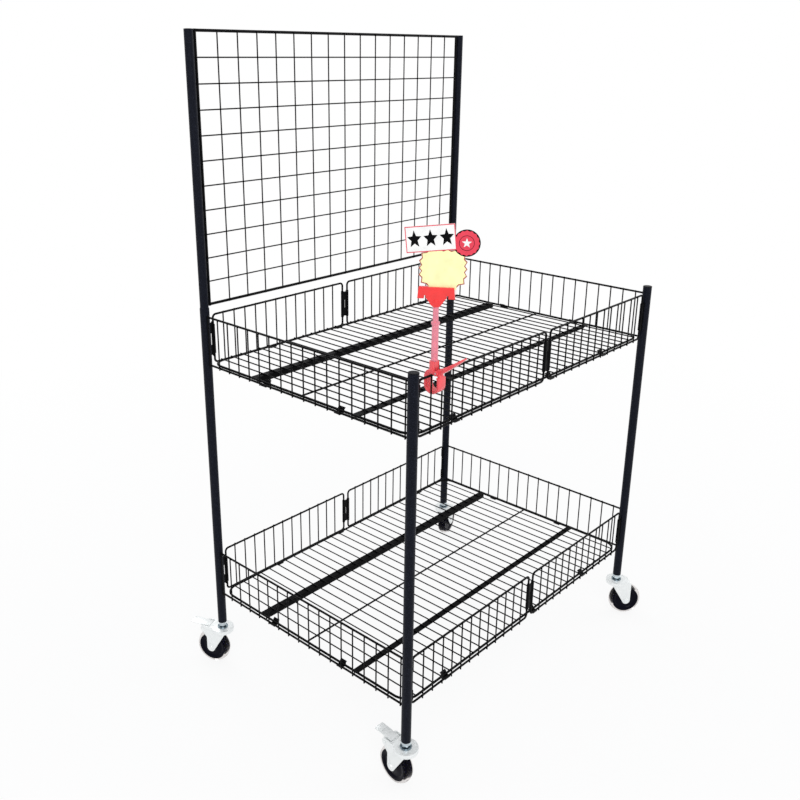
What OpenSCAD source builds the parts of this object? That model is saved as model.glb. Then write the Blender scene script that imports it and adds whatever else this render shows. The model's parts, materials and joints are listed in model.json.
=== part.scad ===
// Promotional display trolley: four tube posts on swivel castors, two folding wire baskets with
// lift-out wire shelves, a wire grid header between the tall rear posts, and a clip-on price sign.
// Millimetres, +Z up, the front towards -Y. The floor is z = 0.

/* [Frame] */
// Distance between the post axes, side to side
post_span_x = 832; // [760:1:900]
// Distance between the post axes, front to back
post_span_y = 578; // [520:1:640]
// Outside diameter of the post tube
post_d = 20; // [19:0.5:21]
// Outside diameter of the header post tube
header_post_d = 18; // [17:0.5:18.5]
// Wall of the post tube
post_wall = 1.2; // [1:0.1:1.6]
// Height of the front post tops above the floor
front_top_z = 881; // [879:1:960]
// Height of the header post tops above the floor
rear_top_z = 1430; // [1300:1:1500]
// Height of a castor, from the floor to the end of the tube
castor_h = 113; // [112:1:116]
// Thickness of the head of a post cap
cap_t = 1.6; // [1.2:0.1:3]
// Distance by which a post cap stands out past its tube
cap_lip = 0.3; // [0:0.1:0.6]
// Depth of the plug under a post cap
cap_plug_l = 12; // [8:1:20]
// Length of the joining tube inside a rear post
spigot_l = 120; // [80:1:160]
// Wall of the joining tube
spigot_wall = 1.5; // [1:0.1:2]
// Length of the threaded socket in the foot of a post
socket_l = 40; // [30:1:60]

/* [Baskets] */
// Height of the bottom wire of the lower basket
lower_tier_z = 193; // [178:1:260]
// Height of the bottom wire of the upper basket
upper_tier_z = 757; // [700:1:759]
// Height of a basket side between its top and bottom wires
fence_h = 106; // [100:1:110]
// Diameter of the frame wire of a basket side
fence_wire_d = 4.5; // [4:0.1:5]
// Diameter of the upright wires of a basket side
pale_d = 3; // [2.5:0.1:3.5]
// Spacing of the upright wires in the two ends of a basket
pale_pitch = 32.4; // [28:0.1:40]
// Spaces between the upright wires in one half of a long side
half_spaces = 13; // [10:1:16]
// Bend radius of the frame wire at the corners of a half side
fence_corner_r = 8; // [6:0.5:9]
// Length of an upright wire below the bottom wire
pale_nub = 0.5; // [0.3:0.1:3]
// Depth by which crossing wires are melted together
weld = 0.5; // [0.3:0.05:0.6]

/* [Hinges] */
// Radial gap between a hinge and the wire that turns in it
hinge_gap = 0.08; // [0.05:0.01:0.1]
// Wall of a hinge sleeve round its wire
sleeve_wall = 1.27; // [1:0.01:1.5]
// Length of a hinge sleeve
sleeve_l = 64; // [50:1:70]
// Thickness of the web of a hinge plate
hinge_web_t = 2.4; // [2:0.1:3]
// Width of the web between a post and its hinge sleeve
hinge_web_w = 6.4; // [6:0.1:10]
// Width of the window in a hinge web
hinge_window_w = 3; // [2:0.1:4]
// Length of the window in a hinge web
hinge_window_l = 26; // [16:1:36]
// Distance between the end wires of two half sides where they meet
mid_gap = 16; // [14:0.5:20]
// Gap between a post and the end wire held on it by two eyes
eye_slit = 1.3; // [1.3:0.05:3]
// Length of a hinge eye along its wire
eye_l = 22; // [12:0.5:22]
// Distance from the eyes to the top and bottom wires
eye_z = 20; // [20:0.5:30]

/* [Shelves] */
// Diameter of the edge wire of a shelf
shelf_wire_d = 5; // [4.5:0.1:6]
// Diameter of the wires across a shelf
cross_wire_d = 2.8; // [2.5:0.1:3.5]
// Diameter of the wire along the middle of a shelf
spine_wire_d = 4; // [3:0.1:4.5]
// Spaces between the wires across a shelf
shelf_spaces = 31; // [31:1:31]
// Bend radius of the corners of a shelf
shelf_corner_r = 32; // [26:1:40]
// Height of the edge wire above the bottom wire of its basket
shelf_rise = 2; // [1.8:0.1:3]
// Gap between a shelf and the hinge sleeves beside it
shelf_side_gap = 0.4; // [0.3:0.05:1]
// Distance of a stiffening angle from the middle of the shelf
stiffener_y = 145; // [125:1:160]
// Width of the top of a stiffening angle
stiffener_w = 15.5; // [12:0.5:24]
// Depth of the inner side of a stiffening angle
stiffener_h = 12; // [6:0.5:14]
// Sheet thickness of a stiffening angle
stiffener_t = 1.2; // [1:0.1:1.6]
// Gap between a stiffening angle and the wires welded to it
stiffener_gap = 0.02; // [0.02:0.01:0.1]

/* [Shelf cradles] */
// Sheet thickness of a cradle
cradle_t = 1.5; // [1.2:0.1:1.8]
// Length of a cradle along its wire
cradle_l = 16; // [14:0.5:22]
// Gap between a shelf and its cradles
cradle_gap = 0.3; // [0.3:0.05:0.6]
// Gap between a cradle and the wire it is welded under
cradle_weld_gap = 0.02; // [0.02:0.01:0.1]
// Height of the lip of a cradle above the bottom wire
cradle_h = 8; // [8:0.5:16]
// Distance by which the lip of a cradle flares away from the shelf
cradle_flare = 3.7; // [2:0.1:5]
// Distance of the cradles on a basket end from the middle
end_cradle_y = 105; // [90:1:115]

/* [Header grid] */
// Diameter of the frame wire of the grid
rail_d = 6; // [5:0.1:7]
// Diameter of the wires in the grid
grid_wire_d = 2.8; // [2.4:0.1:3.2]
// Columns of the grid
grid_columns = 16; // [12:1:20]
// Rows of the grid
grid_rows = 11; // [8:1:14]
// Gap between a post and the side wire of the grid
grid_slit = 2; // [2:0.5:8]
// Height of the bottom wire of the grid above the front post tops
grid_rise = 6; // [5:1:40]
// Length by which the grid wires stand past the frame wires
grid_stub = 1.5; // [1:0.5:4]
// Thickness of a hanging hook of the grid
hook_t = 2; // [1.5:0.1:3]
// Height of a hanging hook where it enters the post
hook_h = 8; // [6:0.5:12]
// Length of the hook behind the wall of the post
hook_drop = 5; // [3:0.5:8]
// Distance of the upper hooks below the top wire of the grid
upper_hook_z = 18; // [18:1:40]
// Distance of the lower hooks above the bottom wire of the grid
lower_hook_z = 80; // [80:1:120]
// Gap round a hook in its slot
hook_gap = 0.15; // [0.1:0.05:0.3]

/* [Castors] */
// Diameter of a castor wheel
wheel_d = 82; // [78:1:82]
// Width of the tread
tread_w = 24; // [22:0.5:25]
// Thickness of the tyre ring
tyre_t = 5; // [4.5:0.5:7]
// Height of the crown of the tyre over its shoulders
tyre_crown = 3; // [2:0.5:4]
// Distance from the swivel axis to the wheel axle
trail = 26; // [25:0.5:28]
// Diameter of the wheel axle
axle_d = 8; // [7:0.5:10]
// Radial gap between the axle and the wheel
axle_gap = 0.06; // [0.04:0.01:0.1]
// Radial gap between a part and the hole that holds it fast
fixed_gap = 0.02; // [0.02:0.01:0.05]
// Sheet thickness of a fork
fork_t = 2.2; // [2:0.1:2.6]
// Gap between the wheel boss and a fork leg
wheel_side_gap = 0.5; // [0.4:0.1:1]
// Radius of the rounded end of a fork leg
fork_end_r = 10; // [8:0.5:10]
// Diameter of the crown of a fork
crown_d = 51; // [48:1:54]
// Depth of the skirt round the crown
crown_skirt = 9; // [7:0.5:10]
// Gap above and below the crown, where it turns
swivel_gap = 0.3; // [0.2:0.05:0.5]
// Fall of the hood behind the crown of a plain fork
hood_drop = 8; // [6:0.5:10]
// Radius of the ears that hold the pedal pin
ear_end_r = 8; // [7:0.5:8]
// Diameter of the threaded stem
stem_d = 10; // [8:1:11]
// Radial gap between the stem and the crown
stem_gap = 0.06; // [0.04:0.01:0.1]
// Width of the hexagon nut across its flats
nut_af = 17; // [16:1:19]
// Thickness of the hexagon nut
nut_h = 10; // [8:0.1:10]
// Diameter of the bearing on the crown
bearing_d = 24; // [24:1:30]
// Height of the bearing
bearing_h = 4.5; // [3.5:0.1:4.5]
// Heading of the rear left wheel, from the stem towards the axle
rear_left_heading = 111; // [0:1:359]
// Heading of the rear right wheel
rear_right_heading = 15; // [0:1:359]
// Heading of the front left wheel
front_left_heading = 84; // [0:1:359]
// Heading of the front right wheel
front_right_heading = -42; // [-90:1:269]

/* [Brakes] */
// Distance from the swivel axis to the tip of a brake pedal
pedal_tip = 82; // [76:1:86]
// Width of a brake pedal
pedal_w = 23; // [20:1:24]
// Sheet thickness of a brake pedal
pedal_t = 2; // [1.6:0.1:2.4]
// Distance from the swivel axis to the pedal pin
pedal_pin_x = 44; // [42:0.5:46]
// Distance of the pedal pin below the top of the crown
pedal_pin_drop = 8.5; // [8:0.5:9]
// Diameter of the pedal pin
pedal_pin_d = 5; // [4:0.5:6]
// Radial gap between the pedal pin and the fork
pedal_pin_gap = 0.05; // [0.04:0.01:0.1]
// Gap between the brake shoe and the tyre with the pedal up
shoe_gap = 3.7; // [3.6:0.1:4.5]

/* [Sign clip] */
// Distance of the clip from the axis of the front left post
clip_offset = 57; // [56:1:58]
// Width of the clip along the wire
clip_w = 20; // [16:0.5:20]
// Outside width of the clip ring
ring_w = 33; // [30:0.5:36]
// Wall of the clip ring
ring_wall = 4.1; // [3:0.1:5]
// Height of the hole in the clip ring
ring_hole_h = 33; // [30:0.5:36]
// Thickness of the clip ring over the wire
ring_top_t = 8.4; // [7:0.1:10]
// Gap between the clip ring and the wire it hangs on
clip_gap = 0.3; // [0.2:0.05:0.5]
// Diameter of the clip pin
clip_pin_d = 3; // [2.5:0.1:3.5]
// Radial gap between the clip pin and the lever
clip_pin_gap = 0.05; // [0.04:0.01:0.1]
// Width of the lever knuckle between the jaw ears
knuckle_w = 11; // [9:0.5:12]
// Gap between the jaws of the clip
jaw_gap = 0.4; // [0.3:0.1:1]
// Reach of the lever outwards from its pin
lever_reach = 57; // [50:1:62]
// Rise of the lever tip above its pin
lever_rise = 38; // [30:1:40]
// Depth of the lever at its root
lever_root_t = 12; // [8:0.5:12]
// Depth of the lever at its tip
lever_tip_t = 3; // [2:0.1:4]
// Depth of the hollow between the side ribs of the lever
lever_hollow = 1.2; // [0.8:0.1:1.6]
// Diameter of the lower part of the sign stem
sign_stem_d = 12; // [11:0.5:13]
// Diameter of the socket block under the sign stem
sign_foot_d = 17; // [16:0.5:18]
// Height of the socket block over the clip ring
sign_foot_h = 13; // [10:1:16]
// Length of the sign stem above its socket block
sign_stem_l = 103; // [90:1:120]
// Height of the collar above the socket block
sign_collar_z = 65; // [50:1:80]
// Diameter of the peg at the foot of the sign stem
sign_peg_d = 8; // [7:0.5:9]
// Length of the peg at the foot of the sign stem
sign_peg_l = 12; // [8:1:14]
// Radial gap between the peg and its socket
sign_peg_gap = 0.06; // [0.04:0.01:0.1]
// Heading of the width of the sign
sign_heading = -55; // [-90:1:0]

/* [Sign card] */
// Width of the card holder
holder_w = 64; // [56:1:72]
// Height of the card holder
holder_h = 20; // [16:1:24]
// Thickness of the card holder
holder_t = 9; // [8:0.5:12]
// Thickness of the card
card_t = 0.8; // [0.6:0.1:1.2]
// Gap between the card and its holder
card_gap = 0.1; // [0.05:0.01:0.2]
// Height of the socket under the bar of the card holder
holder_socket_h = 8; // [6:1:10]
// Depth of the slot for the card
card_slot_h = 12; // [8:1:14]
// Width of the burst on the card
burst_w = 82; // [76:1:96]
// Height of the burst on the card
burst_h = 68; // [62:1:86]
// Width of the tab that the card stands on
card_tab_w = 48; // [40:1:56]
// Distance of the middle of the tab from the stem
card_tab_x = 10; // [6:1:12]
// Length of the banner on the card
banner_w = 84; // [74:1:92]
// Height of the banner on the card
banner_h = 44; // [36:1:48]
// Tilt of the banner
banner_tilt = 6; // [0:1:10]
// Distance of the middle of the banner from the stem, on the far side of the rosette
banner_x = 12; // [6:1:14]
// Diameter of the rosette on the card
rosette_d = 46; // [40:1:50]
// Distance of the middle of the rosette from the stem
rosette_x = 48; // [44:1:52]

/* [Hidden] */
$fn = 32;

frame_paint = "#20242e";
wire_paint = "#16171a";
zinc = "#c3c7c9";
clip_red = "#e0242b";

// Frame
half_x = post_span_x / 2;
half_y = post_span_y / 2;
post_r = post_d / 2;
bore_r = post_r - post_wall;
header_r = header_post_d / 2;
header_bore_r = header_r - post_wall;
tube_fit = 0.05;
weld_gap = 0.02;
front_left = [-half_x, -half_y];
front_right = [half_x, -half_y];
rear_left = [-half_x, half_y];
rear_right = [half_x, half_y];
corners = [front_left, front_right, rear_left, rear_right];

// Hinges and basket sides
sleeve_bore_r = fence_wire_d / 2 + hinge_gap;
sleeve_r = sleeve_bore_r + sleeve_wall;
sleeve_x = post_r + hinge_web_w + sleeve_r;
eye_x = post_r + eye_slit + fence_wire_d / 2;
pale_y = (fence_wire_d + pale_d) / 2 - weld;
end_pales = floor((post_span_y - post_d - pale_d) / pale_pitch) + 1;
eye_side_l = half_x - eye_x - mid_gap / 2;
sleeve_side_l = half_x - sleeve_x - mid_gap / 2;

// Shelves and their cradles
shelf_inset = sleeve_r + shelf_side_gap + shelf_wire_d / 2;
shelf_x = half_x - shelf_inset;
shelf_y = half_y - shelf_inset;
cross_pitch = 2 * shelf_x / shelf_spaces;
cross_z = (shelf_wire_d + cross_wire_d) / 2 - weld;
spine_z = cross_z - (cross_wire_d + spine_wire_d) / 2 + weld;
side_cradles = [-11, 1, 9] * cross_pitch;
cradle_floor_z = shelf_rise - shelf_wire_d / 2 - cradle_gap;
cradle_foot_z = -fence_wire_d / 2 - cradle_weld_gap;
cradle_leg_u = shelf_inset + shelf_wire_d / 2 + cradle_gap;

// Header grid
stile_x = half_x - header_r - grid_slit - rail_d / 2;
grid_z0 = front_top_z + grid_rise;
grid_z1 = rear_top_z - rail_d / 2;
upright_y = (rail_d + grid_wire_d) / 2 - weld;
level_y = upright_y - grid_wire_d + weld;
hook_levels = [grid_z0 + lower_hook_z, grid_z1 - upper_hook_z];
hook_slot = [2 * post_wall + 1, hook_t + 2 * hook_gap, hook_h + hook_drop + 2 * hook_gap];

// Castors
axle_z = wheel_d / 2;
hub_r = wheel_d / 2 - tyre_t;
boss_w = tread_w + 4;
leg_y = boss_w / 2 + wheel_side_gap;
housing_w = 2 * (leg_y + fork_t);
hood_x = trail + fork_end_r;
nut_gap = 0.05;
crown_z = castor_h - nut_h - bearing_h - swivel_gap - 2 * nut_gap;
pedal_pin_z = crown_z - pedal_pin_drop;
wheel_side = tread_w / 2;

// Sign clip, measured from the wire that it hangs on
clip_x = -half_x + clip_offset;
clip_z = upper_tier_z + fence_h;
ring_hole_z1 = fence_wire_d / 2 + clip_gap;
ring_hole_z0 = ring_hole_z1 - ring_hole_h;
ring_z1 = ring_hole_z1 + ring_top_t;
ring_z0 = ring_hole_z0 - ring_wall;
clip_pin_y = -ring_w / 4;
clip_pin_z = ring_hole_z1 + 2;
ear_r = 4.5;
stem_y = 2;
foot_z = ring_z1 + sign_foot_h;

// The reach of a castor in a direction, and the middle of the whole trolley
function wheel_reach(h, dir) =
    trail * cos(h - dir) + wheel_d / 2 * abs(cos(h - dir)) + wheel_side * abs(sin(h - dir));
function pedal_reach(h, dir) = pedal_tip * cos(h - dir) + pedal_w / 2 * abs(sin(h - dir));
function plain_reach(h, dir) = max(crown_d / 2, wheel_reach(h, dir));
function braked_reach(h, dir) = max(plain_reach(h, dir), pedal_reach(h, dir));
reach_right = half_x + max(plain_reach(front_right_heading, 0), plain_reach(rear_right_heading, 0));
reach_left = half_x + max(braked_reach(front_left_heading, 180), braked_reach(rear_left_heading, 180));
reach_rear = half_y + max(braked_reach(rear_left_heading, 90), plain_reach(rear_right_heading, 90));
reach_front = half_y + max(lever_reach - clip_pin_y, plain_reach(front_right_heading, 270));
middle = [(reach_right - reach_left) / 2, (reach_rear - reach_front) / 2, 0];

// General helpers
module centred() { translate(-middle) children(); }

module rod(p, q, d) {
    v = q - p;
    translate(p) rotate([0, acos(v.z / norm(v)), atan2(v.y, v.x)]) cylinder(h = norm(v), d = d);
}

// A wire bent into a round-cornered rectangle in the XY plane
module wire_loop(w, h, r, d) {
    for (s = [-1, 1]) {
        rod([-w / 2 + r, s * h / 2, 0], [w / 2 - r, s * h / 2, 0], d);
        rod([s * w / 2, -h / 2 + r, 0], [s * w / 2, h / 2 - r, 0], d);
    }
    for (i = [0:3]) {
        turn = i * 90 + 45;
        translate([(w / 2 - r) * sign(cos(turn)), (h / 2 - r) * sign(sin(turn)), 0])
            rotate([0, 0, i * 90]) rotate_extrude(angle = 90) translate([r, 0]) circle(d = d);
    }
}

// Outline of a strip of sheet, of thickness t, on the right of a path of points
function side(p, q) = let (v = (q - p) / norm(q - p)) [v.y, -v.x];
function mitre(a, b) = (a + b) / (1 + a * b);
function strip_edge(path, t) = [
    for (i = [0:len(path) - 1])
        let (
            a = side(path[max(i - 1, 0)], path[max(i, 1)]),
            b = side(path[min(i, len(path) - 2)], path[min(i + 1, len(path) - 1)])
        )
        path[i] + t * mitre(a, b)
];
function strip(path, t) =
    let (edge = strip_edge(path, t)) concat(path, [for (i = [len(edge) - 1:-1:0]) edge[i]]);

// Posts
module tube(z0, z1, outer_r, inner_r) {
    translate([0, 0, z0]) difference() {
        cylinder(h = z1 - z0, r = outer_r);
        translate([0, 0, -1]) cylinder(h = z1 - z0 + 2, r = inner_r);
    }
}

module post(at, top_z) { color(frame_paint) centred() translate(at) tube(castor_h, top_z, post_r, bore_r); }

module front_left_post() { post(front_left, front_top_z - cap_t); }
module front_right_post() { post(front_right, front_top_z - cap_t); }
module rear_left_post() { post(rear_left, front_top_z); }
module rear_right_post() { post(rear_right, front_top_z); }

// The tall header posts, slotted on their inner side for the hooks of the grid
module extension(at, inward) {
    color(frame_paint) centred() translate(at) difference() {
        tube(front_top_z, rear_top_z - cap_t, header_r, header_bore_r);
        for (z = hook_levels)
            translate([inward * header_r, 0, z + hook_drop / 2]) cube(hook_slot, center = true);
    }
}

module rear_left_extension() { extension(rear_left, 1); }
module rear_right_extension() { extension(rear_right, -1); }

// The joining tubes, thick in the post and thinner in the header post that stands on them
module extension_spigots() {
    inner_r = header_bore_r - tube_fit - spigot_wall;
    color(zinc) centred() for (at = [rear_left, rear_right]) translate(at) {
        tube(front_top_z - spigot_l / 2, front_top_z, bore_r - tube_fit, inner_r);
        tube(front_top_z - 1, front_top_z + spigot_l / 2, header_bore_r - tube_fit, inner_r);
    }
}

// A moulded cap with a slightly domed head and a hollow plug
module post_cap(top_z, outer_r) {
    head_r = outer_r + cap_lip;
    plug_r = outer_r - post_wall - tube_fit;
    translate([0, 0, top_z - cap_t]) rotate_extrude()
        polygon([[0, 0], [0, cap_t], [head_r * 0.6, cap_t], [head_r - 0.8, cap_t - 0.4],
            [head_r, cap_t - 1], [head_r, weld_gap], [plug_r, weld_gap], [plug_r - 0.4, -cap_plug_l],
            [plug_r - 1.6, -cap_plug_l], [plug_r - 1.6, 0]]);
}

module post_caps() {
    color("black") centred() {
        for (at = [front_left, front_right]) translate(at) post_cap(front_top_z, post_r);
        for (at = [rear_left, rear_right]) translate(at) post_cap(rear_top_z, header_r);
    }
}

module stem_sockets() {
    color("dimgray") centred() for (at = corners) translate(at)
        tube(castor_h, castor_h + socket_l, bore_r - tube_fit, stem_d / 2 + fixed_gap);
}

// Basket ends: two wires welded to the posts and the upright wires on their outside
module end_fence(side_x, tier_z, pales) {
    wire_y = half_y - post_r - weld_gap;
    x = side_x * half_x;
    color(wire_paint) centred() translate([0, 0, tier_z]) {
        for (z = [0, fence_h]) rod([x, -wire_y, z], [x, wire_y, z], fence_wire_d);
        for (i = [0:pales - 1])
            translate([x + side_x * pale_y, (i - (pales - 1) / 2) * pale_pitch, -fence_wire_d / 2 - pale_nub])
                cylinder(h = fence_h + fence_wire_d / 2 + pale_nub + 1, d = pale_d);
    }
}

module lower_left_end_fence() { end_fence(-1, lower_tier_z, end_pales); }
module lower_right_end_fence() { end_fence(1, lower_tier_z, end_pales - 1); }
module upper_left_end_fence() { end_fence(-1, upper_tier_z, end_pales); }
module upper_right_end_fence() { end_fence(1, upper_tier_z, end_pales - 1); }

// One folding half of a long side, drawn from its outer end wire along +X with its front to -Y
module half_side(length) {
    translate([length / 2, 0, fence_h / 2]) rotate([90, 0, 0])
        wire_loop(length, fence_h, fence_corner_r, fence_wire_d);
    for (i = [1:half_spaces - 1])
        translate([i * length / half_spaces, -pale_y, -fence_wire_d / 2 - pale_nub])
            cylinder(h = fence_h + fence_wire_d / 2 + pale_nub + 1, d = pale_d);
}

// The front pair, on the eyes of the left post and the sleeves of the right post
module eye_half() { translate([-half_x + eye_x, -half_y, 0]) half_side(eye_side_l); }
module sleeve_half() { translate([mid_gap / 2, -half_y, 0]) half_side(sleeve_side_l); }
module at_tier(tier_z, turn) {
    color(wire_paint) centred() translate([0, 0, tier_z]) rotate([0, 0, turn]) children();
}

module lower_front_left_fence() { at_tier(lower_tier_z, 0) eye_half(); }
module lower_front_right_fence() { at_tier(lower_tier_z, 0) sleeve_half(); }
module lower_rear_right_fence() { at_tier(lower_tier_z, 180) eye_half(); }
module lower_rear_left_fence() { at_tier(lower_tier_z, 180) sleeve_half(); }
module upper_front_left_fence() { at_tier(upper_tier_z, 0) eye_half(); }
module upper_front_right_fence() { at_tier(upper_tier_z, 0) sleeve_half(); }
module upper_rear_right_fence() { at_tier(upper_tier_z, 180) eye_half(); }
module upper_rear_left_fence() { at_tier(upper_tier_z, 180) sleeve_half(); }

// A web in the XZ plane with chamfered ends and a window, centred on the origin
module hinge_web(x0, x1, window_w) {
    half_l = sleeve_l / 2;
    slope = x1 - x0;
    middle_x = (x0 + x1) / 2;
    rotate([90, 0, 0]) linear_extrude(hinge_web_t, center = true) difference() {
        polygon([[x0, -half_l + slope], [x1, -half_l], [x1, half_l], [x0, half_l - slope]]);
        translate([middle_x, 0]) square([window_w, hinge_window_l], center = true);
    }
}

// The sleeve plate on a post, with the sleeve towards +X
module post_hinge() {
    translate([0, 0, fence_h / 2]) difference() {
        union() {
            translate([sleeve_x, 0, 0]) cylinder(h = sleeve_l, r = sleeve_r, center = true);
            hinge_web(sleeve_x - sleeve_r + 0.6, post_r + weld_gap, hinge_window_w);
        }
        translate([sleeve_x, 0, 0]) cylinder(h = sleeve_l + 2, r = sleeve_bore_r, center = true);
    }
}

// The double sleeve where two half sides meet
module mid_hinge() {
    translate([0, 0, fence_h / 2]) difference() {
        union() {
            for (s = [-1, 1]) translate([s * mid_gap / 2, 0, 0])
                cylinder(h = sleeve_l, r = sleeve_r, center = true);
            rotate([90, 0, 0]) linear_extrude(hinge_web_t, center = true) difference() {
                square([mid_gap, sleeve_l - 4], center = true);
                square([hinge_window_w, hinge_window_l - 6], center = true);
            }
        }
        for (s = [-1, 1]) translate([s * mid_gap / 2, 0, 0])
            cylinder(h = sleeve_l + 2, r = sleeve_bore_r, center = true);
    }
}

// One of the two eyes that hold an end wire close to a post
module hinge_eye(z) {
    translate([0, 0, z]) difference() {
        union() {
            translate([eye_x, 0, 0]) cylinder(h = eye_l, r = sleeve_r - 0.2, center = true);
            translate([post_r + weld_gap, -hinge_web_t / 2, 1 - eye_l / 2])
                cube([eye_x - post_r - weld_gap, hinge_web_t, eye_l - 2]);
        }
        translate([eye_x, 0, 0]) cylinder(h = eye_l + 2, r = sleeve_bore_r, center = true);
    }
}

module tier_hinges(tier_z) {
    for (turn = [0, 180]) at_tier(tier_z, turn) {
        translate([half_x, -half_y, 0]) mirror([1, 0, 0]) post_hinge();
        translate([0, -half_y, 0]) mid_hinge();
        for (z = [eye_z, fence_h - eye_z]) translate([-half_x, -half_y, 0]) hinge_eye(z);
    }
}

module lower_hinges() { tier_hinges(lower_tier_z); }
module upper_hinges() { tier_hinges(upper_tier_z); }

// A sheet cradle under a bottom wire at the origin, opening upwards, with the basket towards +X
module cradle() {
    path = [[-fence_wire_d / 3, cradle_foot_z], [fence_wire_d / 3, cradle_foot_z],
        [shelf_inset - 2, cradle_floor_z], [cradle_leg_u - 1, cradle_floor_z],
        [cradle_leg_u, cradle_floor_z + 1], [cradle_leg_u, cradle_h - 3],
        [cradle_leg_u + cradle_flare, cradle_h]];
    rotate([90, 0, 0]) linear_extrude(cradle_l, center = true) polygon(strip(path, cradle_t));
}

module tier_cradles(tier_z) {
    for (turn = [0, 180]) at_tier(tier_z, turn) {
        for (y = [-end_cradle_y, end_cradle_y]) translate([-half_x, y, 0]) cradle();
        for (x = side_cradles) translate([x, -half_y, 0]) rotate([0, 0, 90]) cradle();
    }
}

module lower_shelf_cradles() { tier_cradles(lower_tier_z); }
module upper_shelf_cradles() { tier_cradles(upper_tier_z); }

// Shelves
module shelf(tier_z) {
    color(wire_paint) centred() translate([0, 0, tier_z + shelf_rise]) {
        wire_loop(2 * shelf_x, 2 * shelf_y, shelf_corner_r, shelf_wire_d);
        rod([-shelf_x, 0, spine_z], [shelf_x, 0, spine_z], spine_wire_d);
        for (i = [1:shelf_spaces - 1]) {
            x = -shelf_x + i * cross_pitch;
            rod([x, -shelf_y - 1, cross_z], [x, shelf_y + 1, cross_z], cross_wire_d);
        }
    }
}

module lower_shelf() { shelf(lower_tier_z); }
module upper_shelf() { shelf(upper_tier_z); }

// The angles under a shelf, each with its upright side towards the middle
module shelf_stiffeners(tier_z) {
    half_w = stiffener_w / 2;
    length = 2 * (shelf_x - shelf_wire_d / 2 - stiffener_gap);
    path = [[-half_w, -stiffener_h], [-half_w, -1], [-half_w + 1, 0], [half_w, 0]];
    top_z = tier_z + shelf_rise + cross_z - cross_wire_d / 2 - stiffener_gap;
    color(wire_paint) centred() for (turn = [0, 180]) rotate([0, 0, turn])
        translate([0, stiffener_y, top_z]) rotate([90, 0, 90])
            linear_extrude(length, center = true) polygon(strip(path, stiffener_t));
}

module lower_shelf_stiffeners() { shelf_stiffeners(lower_tier_z); }
module upper_shelf_stiffeners() { shelf_stiffeners(upper_tier_z); }

// Header grid, hung between the extensions by two hooks on each side
module grid_hook() {
    outer_x = stile_x + rail_d / 4;
    tongue_x = half_x - header_bore_r + hook_gap;
    path = [[outer_x, hook_h / 2 + 6], [outer_x, -hook_h / 2],
        [tongue_x, -hook_h / 2], [tongue_x, -hook_h / 2 - hook_drop],
        [tongue_x + 1.6, -hook_h / 2 - hook_drop], [tongue_x + 1.6, hook_h / 2],
        [half_x - header_r - 1, hook_h / 2]];
    rotate([90, 0, 0]) linear_extrude(hook_t, center = true) polygon(path);
}

module back_grid() {
    column = 2 * stile_x / grid_columns;
    level_x = stile_x + grid_stub;
    row = (grid_z1 - grid_z0) / grid_rows;
    color(wire_paint) centred() translate([0, half_y, 0]) {
        for (s = [-1, 1]) rod([s * stile_x, 0, grid_z0 - rail_d / 2], [s * stile_x, 0, rear_top_z], rail_d);
        for (z = [grid_z0, grid_z1]) rod([-stile_x, 0, z], [stile_x, 0, z], rail_d);
        for (i = [1:grid_columns - 1]) {
            x = -stile_x + i * column;
            rod([x, -upright_y, grid_z0 - grid_stub], [x, -upright_y, grid_z1 + grid_stub], grid_wire_d);
        }
        for (i = [1:grid_rows - 1]) {
            z = grid_z0 + i * row;
            rod([-level_x, -level_y, z], [level_x, -level_y, z], grid_wire_d);
        }
        for (s = [0, 1]) mirror([s, 0, 0]) for (z = hook_levels) translate([0, 0, z]) grid_hook();
    }
}

// Castors, drawn with the swivel axis on Z and the wheel trailing towards +X
module castor_at(at, heading) { centred() translate(at) rotate([0, 0, heading]) children(); }
module across(x, z) { translate([x, 0, z]) rotate([90, 0, 0]) children(); }

module castor_stems() {
    head_z = crown_z - fork_t - swivel_gap;
    color(zinc) centred() for (at = corners) translate(at) {
        translate([0, 0, head_z - 1]) cylinder(h = castor_h + socket_l * 0.7 - head_z + 1, d = stem_d);
        translate([0, 0, head_z - 2.5]) cylinder(h = 2.5, d1 = stem_d + 2, d2 = stem_d + 8);
    }
}

module stem_nuts() {
    color(zinc) centred() for (at = corners)
        translate([at.x, at.y, castor_h - nut_h - nut_gap]) difference() {
            cylinder(h = nut_h, d = nut_af / cos(30), $fn = 6);
            translate([0, 0, -1]) cylinder(h = nut_h + 2, d = stem_d + 2 * fixed_gap);
        }
}

// A bearing with a boss under the nut, a groove and a rolled rim
module castor_bearings() {
    hole_r = stem_d / 2 + fixed_gap;
    boss_r = nut_af / 2;
    rim_r = bearing_d / 2;
    color(zinc) centred() for (at = corners) translate([at.x, at.y, crown_z + swivel_gap])
        rotate_extrude() polygon([[hole_r, 0], [rim_r, 0], [rim_r, bearing_h * 0.4],
            [rim_r - 0.5, bearing_h * 0.55], [rim_r - 1.4, bearing_h * 0.55], [rim_r - 1.4, bearing_h * 0.2],
            [boss_r, bearing_h * 0.2], [boss_r, bearing_h], [hole_r, bearing_h]]);
}

// Plan of the crown: a disc over the swivel and the start of a straight housing behind it
module crown_plan(inset, back) {
    circle(d = crown_d - 2 * inset, $fn = 64);
    translate([0, -housing_w / 2 + inset]) square([back, housing_w - 2 * inset]);
}

// The point where a line from p touches a circle, on the side that p sees anticlockwise
function touch(p, centre, r) =
    let (v = p - centre, a = atan2(v.y, v.x) + acos(r / norm(v))) centre + r * [cos(a), sin(a)];

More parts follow.
